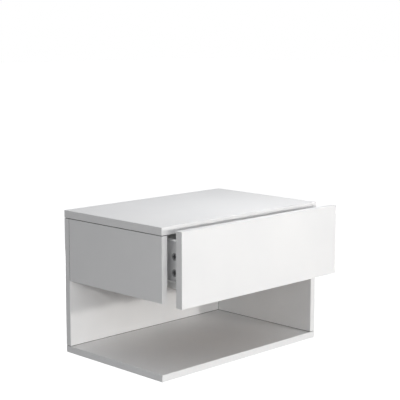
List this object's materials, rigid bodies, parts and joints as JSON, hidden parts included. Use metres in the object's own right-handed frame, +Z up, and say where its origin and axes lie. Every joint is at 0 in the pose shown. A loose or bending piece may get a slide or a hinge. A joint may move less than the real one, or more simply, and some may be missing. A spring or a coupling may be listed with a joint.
{
  "type": "floating nightstand",
  "caption": "Wall-hung nightstand: a handle-less drawer on roller runners above an open shelf, closed by a side panel on the right and open on the left.",
  "frame": {"origin": "centre of the back panel's rear face, the face that lies on the wall", "axes": "+X to the viewer's right along the width, +Y into the wall, +Z up; the drawer opens towards -Y"},
  "size_m": [0.52, 0.398, 0.344],
  "materials": {
    "white_board": "white melamine-faced particleboard with matching edge band, satin",
    "white_hardboard": "white-lacquered hardboard, matt",
    "coated_runner": "white epoxy-coated steel, satin",
    "zinc_steel": "zinc-plated steel, satin",
    "cam_zinc": "dark die-cast zinc, matt",
    "nylon_roller": "natural nylon",
    "beech_dowel": "bare beech"
  },
  "bodies": {
    "cabinet": {"top_panel": "white_board", "left_side_panel": "white_board", "right_side_panel": "white_board", "back_panel": "white_board", "bottom_shelf": "white_board", "left_cabinet_runner": "coated_runner", "right_cabinet_runner": "coated_runner", "left_cabinet_roller_pin": "zinc_steel", "right_cabinet_roller_pin": "zinc_steel", "left_cabinet_runner_front_screw": "zinc_steel", "left_cabinet_runner_rear_screw": "zinc_steel", "right_cabinet_runner_front_screw": "zinc_steel", "right_cabinet_runner_rear_screw": "zinc_steel", "left_front_top_cam": "cam_zinc", "left_front_top_bolt": "zinc_steel", "left_rear_top_cam": "cam_zinc", "left_rear_top_bolt": "zinc_steel", "right_front_top_cam": "cam_zinc", "right_front_top_bolt": "zinc_steel", "right_rear_top_cam": "cam_zinc", "right_rear_top_bolt": "zinc_steel", "left_panel_upper_screw": "zinc_steel", "left_panel_lower_screw": "zinc_steel", "right_panel_back_screw": "zinc_steel", "right_panel_front_foot_screw": "zinc_steel", "right_panel_rear_foot_screw": "zinc_steel", "back_panel_left_foot_screw": "zinc_steel", "back_panel_right_foot_screw": "zinc_steel", "left_back_dowel": "beech_dowel", "right_back_dowel": "beech_dowel"},
    "drawer": {"drawer_front": "white_board", "drawer_left_side": "white_board", "drawer_right_side": "white_board", "drawer_back": "white_board", "drawer_bottom": "white_hardboard", "left_drawer_runner": "coated_runner", "right_drawer_runner": "coated_runner", "left_drawer_roller_pin": "zinc_steel", "right_drawer_roller_pin": "zinc_steel", "left_drawer_runner_front_screw": "zinc_steel", "left_drawer_runner_rear_screw": "zinc_steel", "right_drawer_runner_front_screw": "zinc_steel", "right_drawer_runner_rear_screw": "zinc_steel", "drawer_left_lower_cam": "cam_zinc", "drawer_left_lower_bolt": "zinc_steel", "drawer_left_upper_cam": "cam_zinc", "drawer_left_upper_bolt": "zinc_steel", "drawer_right_lower_cam": "cam_zinc", "drawer_right_lower_bolt": "zinc_steel", "drawer_right_upper_cam": "cam_zinc", "drawer_right_upper_bolt": "zinc_steel", "drawer_left_lower_back_screw": "zinc_steel", "drawer_left_upper_back_screw": "zinc_steel", "drawer_right_lower_back_screw": "zinc_steel", "drawer_right_upper_back_screw": "zinc_steel"},
    "left_cabinet_roller": {"left_cabinet_roller": "nylon_roller"},
    "left_drawer_roller": {"left_drawer_roller": "nylon_roller"},
    "right_cabinet_roller": {"right_cabinet_roller": "nylon_roller"},
    "right_drawer_roller": {"right_drawer_roller": "nylon_roller"}
  },
  "joints": [
    {"name": "drawer_slide", "type": "slide", "parent": "cabinet", "child": "drawer", "axis": [0, -1, 0], "range_m": [-0.042, 0.183]},
    {"name": "left_cabinet_roller_spin", "type": "hinge", "parent": "cabinet", "child": "left_cabinet_roller", "pos_m": [-0.238, -0.309, 0.0445], "axis": [1, 0, 0], "continuous": true},
    {"name": "left_drawer_roller_spin", "type": "hinge", "parent": "drawer", "child": "left_drawer_roller", "pos_m": [-0.238, -0.092, 0.04225], "axis": [1, 0, 0], "continuous": true},
    {"name": "right_cabinet_roller_spin", "type": "hinge", "parent": "cabinet", "child": "right_cabinet_roller", "pos_m": [0.238, -0.309, 0.0445], "axis": [1, 0, 0], "continuous": true},
    {"name": "right_drawer_roller_spin", "type": "hinge", "parent": "drawer", "child": "right_drawer_roller", "pos_m": [0.238, -0.092, 0.04225], "axis": [1, 0, 0], "continuous": true}
  ],
  "couplings": [
    {"joint": "left_cabinet_roller_spin", "follows": "drawer_slide", "rad_per_m": 125},
    {"joint": "left_drawer_roller_spin", "follows": "drawer_slide", "rad_per_m": 125},
    {"joint": "right_cabinet_roller_spin", "follows": "drawer_slide", "rad_per_m": 125},
    {"joint": "right_drawer_roller_spin", "follows": "drawer_slide", "rad_per_m": 125}
  ]
}
